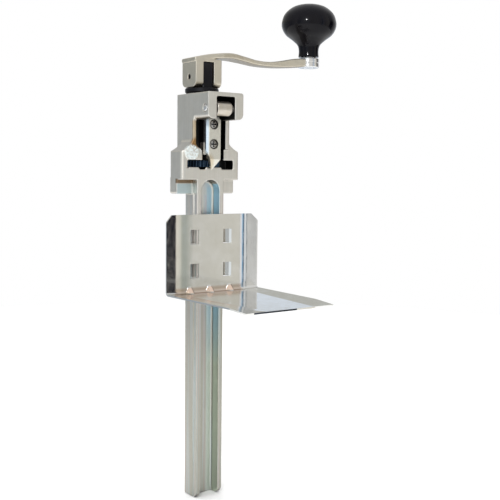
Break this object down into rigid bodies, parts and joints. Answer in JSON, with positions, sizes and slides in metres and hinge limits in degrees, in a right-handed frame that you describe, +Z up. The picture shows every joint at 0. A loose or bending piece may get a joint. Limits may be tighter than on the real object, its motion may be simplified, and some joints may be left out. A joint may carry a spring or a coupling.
{
  "type": "table-mount can opener",
  "caption": "Upright can opener head on a channel bar: a knob crank turns a toothed feed wheel under a swinging knife, above a sliding can shelf.",
  "frame": {"origin": "middle of the bar's web on its foot face, straight below the arbor's axis", "axes": "+X to the right seen from the user, where the crank points at rest; -Y towards the user, out of the knife and the can shelf; +Z up along the bar"},
  "size_m": [0.2232, 0.1802, 0.5176],
  "materials": {
    "nickel_casting": "satin nickel plate over a cast surface",
    "nickel_strip": "satin nickel plate",
    "machined_steel": "turned, bright",
    "knife_steel": "ground",
    "black_oxide": "black oxide, oiled",
    "gear_steel": "hardened, blued",
    "bronze": "sintered bronze",
    "brass": "turned",
    "polished_sheet": "bright nickel-plated steel sheet",
    "gloss_black_plastic": "polished phenolic"
  },
  "bodies": {
    "frame": {"frame_casting": "nickel_casting", "upper_bushing": "bronze", "lower_bushing": "bronze", "holder_pin": "machined_steel"},
    "crank": {"arbor": "black_oxide", "thrust_washer": "black_oxide", "feed_gear": "gear_steel", "gear_washer": "black_oxide", "gear_screw": "black_oxide", "crank_arm": "nickel_strip", "crank_pin": "black_oxide", "knob_spindle": "machined_steel", "knob_washer": "machined_steel", "spindle_clip": "machined_steel"},
    "knob": {"knob": "gloss_black_plastic", "knob_bushing": "brass"},
    "knife_carrier": {"knife_holder": "nickel_casting", "knife": "knife_steel", "knife_screw_lower": "machined_steel", "knife_screw_upper": "machined_steel"},
    "shelf": {"can_shelf": "polished_sheet"}
  },
  "joints": [
    {"name": "crank_turn", "type": "hinge", "parent": "frame", "child": "crank", "pos_m": [0, 0, 0.4], "axis": [0, 0, 1], "continuous": true},
    {"name": "knob_spin", "type": "hinge", "parent": "crank", "child": "knob", "pos_m": [0.1385, 0, 0.49], "axis": [0, 0, 1], "continuous": true},
    {"name": "holder_swing", "type": "hinge", "parent": "frame", "child": "knife_carrier", "pos_m": [0, -0.0376, 0.396], "axis": [-1, 0, 0], "range_deg": [0, 14]},
    {"name": "shelf_slide", "type": "slide", "parent": "frame", "child": "shelf", "axis": [0, 0, 1], "range_m": [-0.19, 0.032]}
  ]
}
